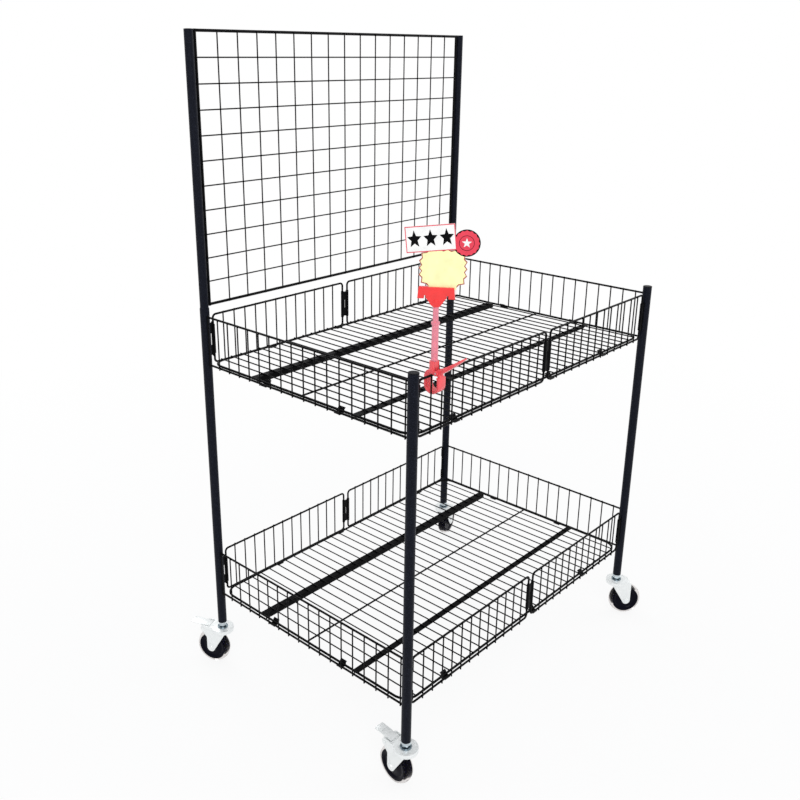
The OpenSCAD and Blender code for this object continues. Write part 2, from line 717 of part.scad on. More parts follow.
// Side view of a fork leg: a straight front edge, a rounded end at the axle and an upright back.
// A braked fork also has an ear behind the leg for the pedal pin.
module leg_side(brake) {
    axle = [trail, axle_z];
    chin = [-crown_d * 0.28, crown_z - crown_skirt];
    neck = [chin.x, crown_z - fork_t];
    translate(axle) circle(r = fork_end_r);
    if (brake) {
        pin = [pedal_pin_x, pedal_pin_z];
        elbow = [hood_x, crown_z - crown_skirt - 20];
        translate(pin) circle(r = ear_end_r);
        polygon([touch(chin, axle, fork_end_r), chin, neck, [pin.x, neck.y], pin,
            touch(elbow, pin, ear_end_r), elbow, [hood_x, axle_z]]);
    } else {
        polygon([touch(chin, axle, fork_end_r), chin, neck, [crown_d / 2 - 5, neck.y],
            [hood_x, crown_z - hood_drop - fork_t], [hood_x, axle_z]]);
    }
}

// The sloping sheet that joins the legs of a plain fork behind its crown
module hood() {
    path = [[crown_d / 4, crown_z], [crown_d / 2 - 4, crown_z], [hood_x, crown_z - hood_drop],
        [hood_x, crown_z - hood_drop - 6]];
    rotate([90, 0, 0]) linear_extrude(housing_w, center = true) polygon(strip(path, fork_t));
}

module fork(brake) {
    back = brake ? pedal_pin_x : crown_d / 2 - 3;
    color(zinc) difference() {
        union() {
            translate([0, 0, crown_z - crown_skirt]) difference() {
                linear_extrude(crown_skirt) crown_plan(0, back);
                translate([0, 0, -fork_t]) linear_extrude(crown_skirt) crown_plan(fork_t, back + 2 * fork_t);
            }
            if (!brake) hood();
            for (s = [-1, 1]) translate([0, s * (leg_y + fork_t / 2), 0]) rotate([90, 0, 0])
                linear_extrude(fork_t, center = true) leg_side(brake);
        }
        cylinder(h = 2 * crown_z, d = stem_d + 2 * stem_gap);
        across(trail, axle_z) cylinder(h = 2 * housing_w, d = axle_d + 2 * fixed_gap, center = true);
        if (brake) {
            across(pedal_pin_x, pedal_pin_z)
                cylinder(h = 2 * housing_w, d = pedal_pin_d + 2 * pedal_pin_gap, center = true);
            translate([crown_d / 2 + 4, -leg_y, crown_z - crown_skirt - 1])
                cube([pedal_pin_x, 2 * leg_y, 2 * crown_skirt]);
        }
    }
}

module castor_axle() {
    half_l = leg_y + fork_t + 0.02;
    color(zinc) across(trail, axle_z) {
        cylinder(h = 2 * half_l, d = axle_d, center = true);
        for (s = [0, 1]) mirror([0, 0, s]) translate([0, 0, half_l])
            cylinder(h = 2.2, d1 = axle_d + 6, d2 = axle_d + 3);
    }
}

// The wheel: a glossy core with a crowned rim, and a clear tyre that follows it.
// Both profiles are drawn as [radius, height along the axle].
module hub() {
    bore = axle_d / 2 + axle_gap;
    half_w = tread_w / 2 - 1.5;
    rim = [for (t = [-1:0.25:1]) [hub_r - tyre_crown * pow(t, 2), t * (half_w - 1)]];
    color("#17181b") across(trail, axle_z) rotate_extrude($fn = 96) polygon(concat(
        [[bore, -boss_w / 2], [bore + 5, -boss_w / 2], [bore + 7, -half_w + 1]],
        [[hub_r - tyre_crown - 6, -half_w + 1], [hub_r - tyre_crown - 4, -half_w]], rim,
        [[hub_r - tyre_crown - 4, half_w], [hub_r - tyre_crown - 6, half_w - 1]],
        [[bore + 7, half_w - 1], [bore + 5, boss_w / 2], [bore, boss_w / 2]]));
}

module tyre() {
    half_w = tread_w / 2;
    seat_w = half_w - 2.5;
    shoulder_r = 3;
    flank = wheel_d / 2 - tyre_crown - shoulder_r;
    seat = [for (t = [1:-0.25:-1]) [hub_r + weld_gap - tyre_crown * pow(t, 2), t * seat_w]];
    round = [for (a = [0:18:90]) [flank + shoulder_r * sin(a), half_w - shoulder_r + shoulder_r * cos(a)]];
    tread = [for (t = [-0.75:0.25:0.75])
        [wheel_d / 2 - tyre_crown * pow(t, 2), t * (half_w - shoulder_r)]];
    lower = [for (p = round) [p.x, -p.y]];
    upper = [for (i = [len(round) - 1:-1:0]) round[i]];
    color("#d9dcdb") across(trail, axle_z) rotate_extrude($fn = 96) polygon(concat(seat,
        [[hub_r - tyre_crown + 1, -half_w + 0.5]], lower, tread, upper,
        [[hub_r - tyre_crown + 1, half_w - 0.5]]));
}

// The pressed pedal: a flat tongue, two cheeks on the pin, and the shoe over the tyre
module brake_pedal() {
    top = crown_z;
    root_x = crown_d / 2 + 5;
    cheek_x = pedal_pin_x + 10;
    tyre_top = axle_z + sqrt(pow(wheel_d / 2, 2) - pow(pedal_pin_x + 6 - trail, 2));
    color(zinc) {
        difference() {
            union() {
                translate([root_x, -pedal_w / 2, top - pedal_t]) cube([cheek_x - root_x, pedal_w, pedal_t]);
                translate([0, 0, top - pedal_t]) linear_extrude(pedal_t) polygon([
                    [cheek_x - 1, -pedal_w / 2], [pedal_tip - 1.5, -pedal_w / 2],
                    [pedal_tip, -pedal_w / 2 + 1.5], [pedal_tip, pedal_w / 2 - 1.5],
                    [pedal_tip - 1.5, pedal_w / 2], [cheek_x - 1, pedal_w / 2]]);
                for (s = [-1, 1]) translate([0, s * (pedal_w - pedal_t) / 2, 0]) rotate([90, 0, 0])
                    linear_extrude(pedal_t, center = true) polygon([
                        [root_x, top - pedal_t], [pedal_pin_x - 4, pedal_pin_z - 4],
                        [pedal_pin_x + 4, pedal_pin_z - 4], [cheek_x, top - pedal_t]]);
            }
            across(pedal_pin_x, pedal_pin_z) cylinder(h = pedal_w + 2, d = pedal_pin_d / 2, center = true);
        }
        across(pedal_pin_x, pedal_pin_z) cylinder(h = housing_w + 1.2, d = pedal_pin_d, center = true);
        translate([pedal_pin_x + 3, -pedal_w / 2 + 1, tyre_top + shoe_gap])
            cube([3, pedal_w - 2, top - tyre_top - shoe_gap - 1]);
    }
}

module front_left_fork() { castor_at(front_left, front_left_heading) fork(true); }
module front_right_fork() { castor_at(front_right, front_right_heading) fork(false); }
module rear_left_fork() { castor_at(rear_left, rear_left_heading) fork(true); }
module rear_right_fork() { castor_at(rear_right, rear_right_heading) fork(false); }
module front_left_axle() { castor_at(front_left, front_left_heading) castor_axle(); }
module front_right_axle() { castor_at(front_right, front_right_heading) castor_axle(); }
module rear_left_axle() { castor_at(rear_left, rear_left_heading) castor_axle(); }
module rear_right_axle() { castor_at(rear_right, rear_right_heading) castor_axle(); }
module front_left_hub() { castor_at(front_left, front_left_heading) hub(); }
module front_right_hub() { castor_at(front_right, front_right_heading) hub(); }
module rear_left_hub() { castor_at(rear_left, rear_left_heading) hub(); }
module rear_right_hub() { castor_at(rear_right, rear_right_heading) hub(); }
module front_left_tyre() { castor_at(front_left, front_left_heading) tyre(); }
module front_right_tyre() { castor_at(front_right, front_right_heading) tyre(); }
module rear_left_tyre() { castor_at(rear_left, rear_left_heading) tyre(); }
module rear_right_tyre() { castor_at(rear_right, rear_right_heading) tyre(); }
module front_left_brake_pedal() { castor_at(front_left, front_left_heading) brake_pedal(); }
module rear_left_brake_pedal() { castor_at(rear_left, rear_left_heading) brake_pedal(); }

// Sign clip, drawn round the wire at the origin, which runs along X; the outside is towards -Y
module clip_at() { centred() translate([clip_x, -half_y, clip_z]) children(); }
module clip_slab(x0, x1) { translate([x0, 0, 0]) rotate([90, 0, 90]) linear_extrude(x1 - x0) children(); }

module stadium(w, z0, z1) {
    translate([0, z0 + w / 2]) circle(d = w, $fn = 64);
    translate([0, z1 - w / 2]) circle(d = w, $fn = 64);
    translate([-w / 2, z0 + w / 2]) square([w, z1 - z0 - w]);
}

module ring_section() {
    difference() {
        stadium(ring_w, ring_z0, ring_z1);
        stadium(ring_w - 2 * ring_wall, ring_hole_z0, ring_hole_z1);
    }
}

module sign_clamp_jaw() {
    ear_w = (clip_w - knuckle_w) / 2 - 0.3;
    color(clip_red) clip_at() difference() {
        union() {
            clip_slab(-clip_w / 2, clip_w / 2) intersection() {
                ring_section();
                union() {
                    translate([jaw_gap / 2, ring_z0 - 1]) square([ring_w, ring_z1 - ring_z0 + 2]);
                    translate([-3, -1]) square([ring_w, ring_z1 + 2]);
                }
            }
            for (x = [-clip_w / 2, clip_w / 2 - ear_w]) clip_slab(x, x + ear_w) {
                translate([clip_pin_y, clip_pin_z]) circle(r = ear_r);
                translate([clip_pin_y, clip_pin_z]) square([-clip_pin_y, ear_r - 0.5]);
                translate([clip_pin_y, clip_pin_z - 2]) square([-clip_pin_y - 2, 3]);
            }
            translate([0, stem_y, ring_z1 - 3]) cylinder(h = sign_foot_h + 3, d = sign_foot_d);
        }
        translate([-clip_w, clip_pin_y, clip_pin_z]) rotate([0, 90, 0])
            cylinder(h = 2 * clip_w, d = clip_pin_d + 2 * fixed_gap);
        translate([0, stem_y, foot_z - sign_peg_l - swivel_gap])
            cylinder(h = sign_peg_l + 2, d = sign_peg_d + 2 * sign_peg_gap);
        translate([-knuckle_w / 2 - 0.3, clip_pin_y - ear_r - 1, clip_pin_z - ear_r - 1])
            cube([knuckle_w + 0.6, 2 * ear_r + 1.3, 2 * ear_r + 20]);
    }
}

// Side view of the lever handle, a curved blade that thins towards its tip; side is 1 for its top
function blade(t, side, inset) =
    let (half_t = (lever_root_t * (1 - t) + lever_tip_t * t) / 2 - inset)
    [clip_pin_y - lever_reach * t, clip_pin_z + lever_rise * pow(t, 1.15) + side * half_t];

// Plan of the handle, from its pin outwards
module lever_plan() {
    polygon([[-knuckle_w / 2, 0], [-knuckle_w / 2, -8], [-clip_w / 2 + 1, -16],
        [-clip_w / 2 + 3, -lever_reach + 8], [-4, -lever_reach], [4, -lever_reach],
        [clip_w / 2 - 3, -lever_reach + 8], [clip_w / 2 - 1, -16], [knuckle_w / 2, -8], [knuckle_w / 2, 0]]);
}

module sign_clamp_lever() {
    upper = [for (t = [0:0.125:1]) blade(t, 1, 0)];
    lower = [for (t = [1:-0.125:0]) blade(t, -1, 0)];
    floor_line = [for (t = [0.875:-0.125:0.25]) blade(t, 1, lever_hollow)];
    roof_line = [for (t = [0.25:0.125:0.875]) blade(t, 1, -4)];
    color(clip_red) clip_at() difference() {
        union() {
            clip_slab(-clip_w / 2, clip_w / 2) intersection() {
                ring_section();
                translate([-ring_w, ring_z0 - 1]) square([ring_w - jaw_gap / 2, -ring_z0 - 2]);
            }
            clip_slab(-knuckle_w / 2, knuckle_w / 2) {
                translate([clip_pin_y, clip_pin_z]) circle(r = ear_r - 0.2);
                intersection() {
                    ring_section();
                    translate([-ring_w, -8]) square([ring_w + clip_pin_y, clip_pin_z + 8]);
                }
            }
            intersection() {
                clip_slab(-clip_w / 2, clip_w / 2) polygon(concat(upper, lower));
                translate([0, clip_pin_y, ring_z0]) linear_extrude(150) lever_plan();
            }
        }
        clip_slab(-clip_w / 2 + 5, clip_w / 2 - 5) polygon(concat(roof_line, floor_line));
        translate([-clip_w, clip_pin_y, clip_pin_z]) rotate([0, 90, 0])
            cylinder(h = 2 * clip_w, d = clip_pin_d + 2 * clip_pin_gap);
    }
}

module sign_clamp_pin() {
    color(zinc) clip_at() translate([-clip_w / 2 + 0.5, clip_pin_y, clip_pin_z]) rotate([0, 90, 0])
        cylinder(h = clip_w - 1, d = clip_pin_d);
}

// The turning post of the sign: a peg, a thicker lower part, a collar and a thinner upper part
module sign_stem() {
    color(clip_red) clip_at() translate([0, stem_y, foot_z]) rotate_extrude() polygon([
        [0, -sign_peg_l], [sign_peg_d / 2 - 0.5, -sign_peg_l], [sign_peg_d / 2, -sign_peg_l + 0.5],
        [sign_peg_d / 2, swivel_gap], [sign_stem_d / 2, swivel_gap], [sign_stem_d / 2, sign_collar_z],
        [sign_stem_d / 2 + 1.5, sign_collar_z + 1], [sign_stem_d / 2 + 1.5, sign_collar_z + 5],
        [sign_stem_d / 2 - 1, sign_collar_z + 6], [sign_stem_d / 2 - 1, sign_stem_l], [0, sign_stem_l]]);
}

module sign_at() {
    clip_at() translate([0, stem_y, foot_z + sign_stem_l]) rotate([0, 0, sign_heading]) children();
}

// Front view of the holder: a bar on a funnel that fits over the stem
module holder_front() {
    half_w = holder_w / 2;
    throat = sign_stem_d / 2 + 2;
    top = holder_socket_h + holder_h;
    difference() {
        polygon([[-half_w + 2, top], [-half_w, holder_socket_h], [-2 * throat, holder_socket_h],
            [-throat, -4], [throat, -4], [2 * throat, holder_socket_h],
            [half_w, holder_socket_h], [half_w - 2, top]]);
        for (s = [-1, 1]) translate([s * half_w * 0.6, holder_socket_h + 2.5]) square([3, 6], center = true);
    }
}

module sign_card_holder() {
    socket_d = sign_stem_d - 2 + 2 * fixed_gap;
    socket_l = 20;
    color(clip_red) sign_at() difference() {
        union() {
            rotate([90, 0, 0]) linear_extrude(holder_t, center = true) holder_front();
            translate([0, 0, -6]) cylinder(h = 12, d = sign_stem_d + 2);
        }
        translate([0, 0, -socket_l]) cylinder(h = socket_l + fixed_gap, d = socket_d);
        translate([0, 0, holder_socket_h + holder_h])
            cube([2 * holder_w, card_t + 2 * card_gap, 2 * card_slot_h], center = true);
    }
}

// Outline of the card: a burst, a tilted banner over its left and a rosette at its right
module burst_plan() {
    points = 18;
    dent = 0.9;
    polygon([for (i = [0:2 * points - 1])
        let (a = i * 180 / points, square_r = pow(pow(cos(a), 4) + pow(sin(a), 4), -0.25))
        (i % 2 == 0 ? 1 : dent) * square_r * [cos(a) * burst_w / 2, sin(a) * burst_h / 2]]);
}

// The print areas meet like cut-outs of one card: the tab carries the burst, and the banner and the
// rosette lie over its top edge.
module card_plan() {
    tab_z = -card_slot_h + card_gap;
    banner_z = burst_h + 14;
    rosette_z = burst_h + 8;
    translate([card_tab_x, burst_h / 2 - 2]) burst_plan();
    translate([card_tab_x - card_tab_w / 2, tab_z]) square([card_tab_w, burst_h / 3]);
    translate([-banner_x, banner_z]) rotate(banner_tilt) square([banner_w, banner_h], center = true);
    translate([rosette_x, rosette_z]) circle(d = rosette_d, $fn = 64);
}

module sign_card() {
    color("#f6ee9a") sign_at() translate([0, 0, holder_socket_h + holder_h]) rotate([90, 0, 0])
        linear_extrude(card_t, center = true) card_plan();
}

front_left_post();
front_right_post();
rear_left_post();
rear_right_post();
rear_left_extension();
rear_right_extension();
extension_spigots();
post_caps();
stem_sockets();
back_grid();
lower_left_end_fence();
lower_right_end_fence();
lower_front_left_fence();
lower_front_right_fence();
lower_rear_left_fence();
lower_rear_right_fence();
upper_left_end_fence();
upper_right_end_fence();
upper_front_left_fence();
upper_front_right_fence();
upper_rear_left_fence();
upper_rear_right_fence();
lower_hinges();
upper_hinges();
lower_shelf_cradles();
upper_shelf_cradles();
lower_shelf();
upper_shelf();
lower_shelf_stiffeners();
upper_shelf_stiffeners();
castor_stems();
stem_nuts();
castor_bearings();
front_left_fork();
front_right_fork();
rear_left_fork();
rear_right_fork();
front_left_axle();
front_right_axle();
rear_left_axle();
rear_right_axle();
front_left_hub();
front_right_hub();
rear_left_hub();
rear_right_hub();
front_left_tyre();
front_right_tyre();
rear_left_tyre();
rear_right_tyre();
front_left_brake_pedal();
rear_left_brake_pedal();
sign_clamp_jaw();
sign_clamp_lever();
sign_clamp_pin();
sign_stem();
sign_card_holder();
sign_card();
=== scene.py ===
import json
import math

import bpy
import bmesh
from mathutils import Matrix, Vector

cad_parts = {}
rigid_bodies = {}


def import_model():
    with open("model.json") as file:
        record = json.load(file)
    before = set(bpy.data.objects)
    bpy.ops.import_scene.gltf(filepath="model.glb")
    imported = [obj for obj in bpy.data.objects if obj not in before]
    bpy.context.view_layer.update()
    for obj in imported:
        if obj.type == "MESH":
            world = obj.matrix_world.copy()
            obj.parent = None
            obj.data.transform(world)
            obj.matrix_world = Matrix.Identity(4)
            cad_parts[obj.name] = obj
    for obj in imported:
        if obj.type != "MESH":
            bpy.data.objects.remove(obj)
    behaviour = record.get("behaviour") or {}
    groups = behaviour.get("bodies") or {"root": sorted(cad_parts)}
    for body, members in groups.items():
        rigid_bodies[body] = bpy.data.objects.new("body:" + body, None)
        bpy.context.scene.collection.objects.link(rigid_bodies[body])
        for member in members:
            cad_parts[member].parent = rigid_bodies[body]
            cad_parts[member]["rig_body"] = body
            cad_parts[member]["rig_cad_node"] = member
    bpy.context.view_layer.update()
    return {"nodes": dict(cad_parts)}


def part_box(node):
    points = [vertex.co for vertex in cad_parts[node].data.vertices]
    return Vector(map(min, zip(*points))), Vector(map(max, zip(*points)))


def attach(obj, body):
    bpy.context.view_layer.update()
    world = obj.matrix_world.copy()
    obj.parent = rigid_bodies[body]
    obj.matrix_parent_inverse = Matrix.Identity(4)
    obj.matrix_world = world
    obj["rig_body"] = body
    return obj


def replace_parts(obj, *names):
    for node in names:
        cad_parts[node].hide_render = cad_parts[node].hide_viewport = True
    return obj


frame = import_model()
nodes = frame["nodes"]

# Camera
# The photograph was taken from the front left corner, at the height of the header, with a normal lens.
# Distances are in metres from the point on the floor midway between the four posts.
front_left_post = sum(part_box("front_left_post"), Vector()) / 2
rear_right_post = sum(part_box("rear_right_post"), Vector()) / 2
trolley_middle = (front_left_post + rear_right_post) / 2
trolley_middle.z = 0
half_x = (rear_right_post.x - front_left_post.x) / 2
half_y = (rear_right_post.y - front_left_post.y) / 2
eye = trolley_middle + Vector((-1.5174, -1.2242, 1.3923))
view_heading = math.radians(47.235)
view_drop = math.radians(19.254)
view_roll = math.radians(0.399)
sensor_width = 36
focal_px = 908.2
photo_px = 800
optical_axis_px = (377.35, 367.9)

look = Vector((math.sin(view_heading) * math.cos(view_drop),
               math.cos(view_heading) * math.cos(view_drop),
               -math.sin(view_drop)))
turn = look.to_track_quat("-Z", "Y").to_matrix() @ Matrix.Rotation(view_roll, 3, "Z")
bpy.ops.object.camera_add(location=eye, rotation=turn.to_euler())
camera = bpy.context.object
camera.name = "photo_camera"
camera.data.sensor_width = sensor_width
camera.data.lens = focal_px / photo_px * sensor_width
camera.data.shift_x = 0.5 - optical_axis_px[0] / photo_px
camera.data.shift_y = optical_axis_px[1] / photo_px - 0.5
bpy.context.scene.camera = camera
bpy.context.scene.view_settings.view_transform = "Standard"

# Studio
# A white floor keeps a faint shadow and fades into a surround that is white for the camera and in
# reflections. Three large soft lamps light the trolley from the front left, front right and back.
floor_radius = 40
floor_gap = 0.0004
lamp_size = 2.4
lamp_target = Vector((0, 0, 0.6))


def tree_of(material):
    material.use_nodes = True
    tree = material.node_tree
    tree.nodes.clear()
    return tree, tree.nodes.new("ShaderNodeOutputMaterial")


def white_world(light_color, light_strength):
    """White where the camera, a reflection or a refraction looks at it, and a soft light otherwise."""
    world = bpy.data.worlds.new("white_surround")
    bpy.context.scene.world = world
    world.use_nodes = True
    tree = world.node_tree
    tree.nodes.clear()
    out = tree.nodes.new("ShaderNodeOutputWorld")
    seen = tree.nodes.new("ShaderNodeBackground")
    seen.inputs["Color"].default_value = (1, 1, 1, 1)
    light = tree.nodes.new("ShaderNodeBackground")
    light.inputs["Color"].default_value = (*light_color, 1)
    light.inputs["Strength"].default_value = light_strength
    path = tree.nodes.new("ShaderNodeLightPath")
    looked_at = path.outputs["Is Camera Ray"]
    for ray in ("Is Glossy Ray", "Is Transmission Ray"):
        either = tree.nodes.new("ShaderNodeMath")
        either.operation = "MAXIMUM"
        tree.links.new(looked_at, either.inputs[0])
        tree.links.new(path.outputs[ray], either.inputs[1])
        looked_at = either.outputs[0]
    mix = tree.nodes.new("ShaderNodeMixShader")
    tree.links.new(looked_at, mix.inputs["Fac"])
    tree.links.new(light.outputs[0], mix.inputs[1])
    tree.links.new(seen.outputs[0], mix.inputs[2])
    tree.links.new(mix.outputs[0], out.inputs["Surface"])


def floor_material(paper_color, fade_from, fade_to, shadow_share):
    """Glowing white with a share of plain paper, which takes the shadow and fades with distance."""
    material = bpy.data.materials.new("studio_floor")
    tree, out = tree_of(material)
    coord = tree.nodes.new("ShaderNodeTexCoord")
    far = tree.nodes.new("ShaderNodeVectorMath")
    far.operation = "LENGTH"
    fade = tree.nodes.new("ShaderNodeMapRange")
    fade.inputs["From Min"].default_value = fade_from
    fade.inputs["From Max"].default_value = fade_to
    fade.inputs["To Min"].default_value = shadow_share
    fade.inputs["To Max"].default_value = 0
    white = tree.nodes.new("ShaderNodeEmission")
    paper = tree.nodes.new("ShaderNodeBsdfDiffuse")
    paper.inputs["Color"].default_value = (*paper_color, 1)
    mix = tree.nodes.new("ShaderNodeMixShader")
    tree.links.new(coord.outputs["Object"], far.inputs[0])
    tree.links.new(far.outputs["Value"], fade.inputs["Value"])
    tree.links.new(fade.outputs["Result"], mix.inputs["Fac"])
    tree.links.new(white.outputs[0], mix.inputs[1])
    tree.links.new(paper.outputs[0], mix.inputs[2])
    tree.links.new(mix.outputs[0], out.inputs["Surface"])
    return material


def soft_lamp(name, place, power):
    bpy.ops.object.light_add(type="AREA", location=place)
    lamp = bpy.context.object
    lamp.name = name
    aim = lamp_target - Vector(place)
    lamp.rotation_euler = aim.to_track_quat("-Z", "Y").to_euler()
    lamp.data.size = lamp_size
    lamp.data.energy = power


white_world(light_color=(0.95, 0.97, 1), light_strength=0.62)
bpy.ops.mesh.primitive_circle_add(vertices=96, radius=floor_radius, fill_type="NGON",
                                  location=(0, 0, -floor_gap))
floor = bpy.context.object
floor.name = "studio_floor"
floor.data.materials.append(floor_material((0.9, 0.9, 0.9), fade_from=0.8, fade_to=2.6, shadow_share=0.12))
soft_lamp("key_lamp", (-2.6, -2.4, 3.4), power=70)
soft_lamp("fill_lamp", (3.2, -1.6, 2.4), power=30)
soft_lamp("back_lamp", (0.4, 3.2, 3.0), power=35)


# Posts
# Four lengths of 20 mm steel tube stand at the corners and carry everything else. They are finished
# in a near-black blue powder coat with a fine paler fleck and a slight orange peel.
def metre_noise(tree, scale, detail=2.0):
    coord = tree.nodes.new("ShaderNodeTexCoord")
    noise = tree.nodes.new("ShaderNodeTexNoise")
    noise.inputs["Scale"].default_value = scale
    noise.inputs["Detail"].default_value = detail
    tree.links.new(coord.outputs["Object"], noise.inputs["Vector"])
    return noise.outputs["Fac"]


def tint(tree, shader, value, stops):
    """Gives the shader a colour from the stops, each (place, colour), as the value goes from 0 to 1."""
    node = tree.nodes.new("ShaderNodeValToRGB")
    while len(node.color_ramp.elements) < len(stops):
        node.color_ramp.elements.new(0.5)
    for element, (place, color) in zip(node.color_ramp.elements, stops):
        element.position = place
        element.color = (*color, 1)
    tree.links.new(value, node.inputs["Fac"])
    tree.links.new(node.outputs["Color"], shader.inputs["Base Color"])


def polish(tree, shader, value, low, high):
    """Gives the shader a roughness from low to high as the value goes from 0 to 1."""
    node = tree.nodes.new("ShaderNodeMapRange")
    node.inputs["To Min"].default_value = low
    node.inputs["To Max"].default_value = high
    tree.links.new(value, node.inputs["Value"])
    tree.links.new(node.outputs["Result"], shader.inputs["Roughness"])


def bump(tree, shader, value, strength, depth):
    node = tree.nodes.new("ShaderNodeBump")
    node.inputs["Strength"].default_value = strength
    node.inputs["Distance"].default_value = depth
    tree.links.new(value, node.inputs["Height"])
    tree.links.new(node.outputs["Normal"], shader.inputs["Normal"])


def surface(name, specular):
    material = bpy.data.materials.new(name)
    tree, out = tree_of(material)
    shader = tree.nodes.new("ShaderNodeBsdfPrincipled")
    shader.inputs["Specular IOR Level"].default_value = specular
    tree.links.new(shader.outputs[0], out.inputs["Surface"])
    return material, tree, shader


def flecked_coat(name, specular, ground, body, fleck):
    material, tree, shader = surface(name, specular)
    tint(tree, shader, metre_noise(tree, scale=900, detail=3), [(0.38, ground), (0.56, body), (0.70, fleck)])
    polish(tree, shader, metre_noise(tree, scale=260), low=0.30, high=0.46)
    bump(tree, shader, metre_noise(tree, scale=620), strength=0.35, depth=0.0004)
    return material


def dress(material, *names):
    for name in names:
        slots = nodes[name].data.materials
        slots.clear()
        slots.append(material)


post_coat = flecked_coat("flecked_powder_coat", specular=0.08, ground=(0.002, 0.003, 0.006),
                         body=(0.005, 0.006, 0.012), fleck=(0.026, 0.030, 0.048))
dress(post_coat, "front_left_post", "front_right_post", "rear_left_post", "rear_right_post")


# Stem sockets and castor stems
# A plastic socket is pressed into the foot of each post and takes the threaded stem of a castor.
# The stems, like all the castor steel, are zinc plated, with faint clouding and a satin grain.
def moulded(name, color, roughness, grain=700, transmission=0.0, specular=0.5, ior=1.5):
    """Plastic with a faintly uneven colour and polish, and the fine grain of its mould."""
    material, tree, shader = surface(name, specular)
    shader.inputs["Transmission Weight"].default_value = transmission
    shader.inputs["IOR"].default_value = ior
    dark = tuple(channel * 0.88 for channel in color)
    tint(tree, shader, metre_noise(tree, scale=60), [(0.3, dark), (0.7, color)])
    polish(tree, shader, metre_noise(tree, scale=320), low=roughness * 0.8, high=roughness * 1.2)
    bump(tree, shader, metre_noise(tree, grain), strength=0.08, depth=0.0001)
    return material


def metal(name, specular, metallic, dark, pale, low, high):
    """Plated or bare metal, clouded from dark to pale, with a roughness from low to high."""
    material, tree, shader = surface(name, specular)
    shader.inputs["Metallic"].default_value = metallic
    tint(tree, shader, metre_noise(tree, scale=90, detail=4), [(0.3, dark), (0.7, pale)])
    polish(tree, shader, metre_noise(tree, scale=240, detail=4), low, high)
    bump(tree, shader, metre_noise(tree, scale=500), strength=0.12, depth=0.0002)
    return material


zinc = metal("zinc_plate", specular=0.4, metallic=0.45, dark=(0.82, 0.845, 0.845), pale=(0.87, 0.89, 0.89),
             low=0.32, high=0.46)
bright_zinc = metal("bright_zinc_plate", specular=0.5, metallic=0.95, dark=(0.44, 0.50, 0.54),
                    pale=(0.66, 0.71, 0.74), low=0.14, high=0.26)
dress(moulded("socket_plastic", (0.10, 0.10, 0.11), roughness=0.5), "stem_sockets")
dress(bright_zinc, "castor_stems")

# Stem nuts
# A zinc hexagon nut locks each stem on its bearing. Its corners are turned off at both ends, which
# the plain hexagon of the CAD model doesn't show.
castor_top = 0.113
nut_flats = 0.017
nut_height = 0.010
nut_gap = 0.00005
stem_radius = 0.005
corner_chamfer = 0.0011
edge_break = 0.00015
flats_stay_flat = math.radians(25)


def pick(piece):
    bpy.ops.object.select_all(action="DESELECT")
    piece.select_set(True)
    bpy.context.view_layer.objects.active = piece


def settle(piece):
    """Puts the piece's place, turn and size into its mesh."""
    pick(piece)
    bpy.ops.object.transform_apply(location=True, rotation=True, scale=True)
    return piece


def finish_with(piece, kind, **values):
    """Adds a modifier of this kind with these values, and applies it."""
    pick(piece)
    modifier = piece.modifiers.new(kind.lower(), kind)
    for name, value in values.items():
        setattr(modifier, name, value)
    bpy.ops.object.modifier_apply(modifier=modifier.name)


def repeat(piece, count, step):
    finish_with(piece, "ARRAY", count=count, use_relative_offset=False, use_constant_offset=True,
                constant_offset_displace=step)


def fit(piece, name, body, material):
    """Names a finished piece, gives it its one material, and lets it ride on its body."""
    piece.name = name
    piece.data.name = name
    piece.data.materials.clear()
    piece.data.materials.append(material)
    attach(piece, body)
    return piece


def cylinder(sides, radius, height, place, turn_z=0.0):
    bpy.ops.mesh.primitive_cylinder_add(vertices=sides, radius=radius, depth=height, location=place,
                                        rotation=(0, 0, turn_z))
    return settle(bpy.context.object)


def combine(piece, tool, operation):
    finish_with(piece, "BOOLEAN", object=tool, operation=operation, solver="EXACT")
    bpy.data.objects.remove(tool)


nut_place = trolley_middle + Vector((-half_x, -half_y, castor_top - nut_gap - nut_height / 2))
nut_reach = nut_flats / math.sqrt(3)
nut = cylinder(6, nut_reach, nut_height, nut_place, math.radians(30))
turning = cylinder(64, nut_reach, nut_height, nut_place)
finish_with(turning, "BEVEL", width=corner_chamfer, segments=1, limit_method="ANGLE",
            angle_limit=math.radians(60))
combine(nut, turning, "INTERSECT")
combine(nut, cylinder(48, stem_radius + nut_gap, 2 * nut_height, nut_place), "DIFFERENCE")
finish_with(nut, "BEVEL", width=edge_break, segments=2, limit_method="ANGLE", angle_limit=flats_stay_flat)
bpy.ops.object.shade_smooth_by_angle(angle=flats_stay_flat)
repeat(nut, 2, (2 * half_x, 0, 0))
repeat(nut, 2, (0, 2 * half_y, 0))
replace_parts(fit(nut, "chamfered_stem_nuts", "frame", bright_zinc), "stem_nuts")

# Castor bearings and forks
# Each castor is pressed from 2 mm steel sheet: a ball bearing on top, a round crown with a skirt, and
# two legs. Pressing rounds every edge of the sheet, so softened copies stand for the plain forks.
# The bearings take a zinc darkened to a bluish grey far below any plating, as painted shade under the post
# and socket.
zinc_with_painted_shade = metal("zinc_plate_with_painted_shade", specular=0.5, metallic=0.95, dark=(0.10, 0.14, 0.17),
                   pale=(0.26, 0.32, 0.36), low=0.16, high=0.30)
dress(zinc_with_painted_shade, "castor_bearings")
fork_rounding = 0.0005
same_point = 0.000002
same_plane = math.radians(0.4)
sharp_edge = math.radians(32)
smooth_turn = math.radians(40)


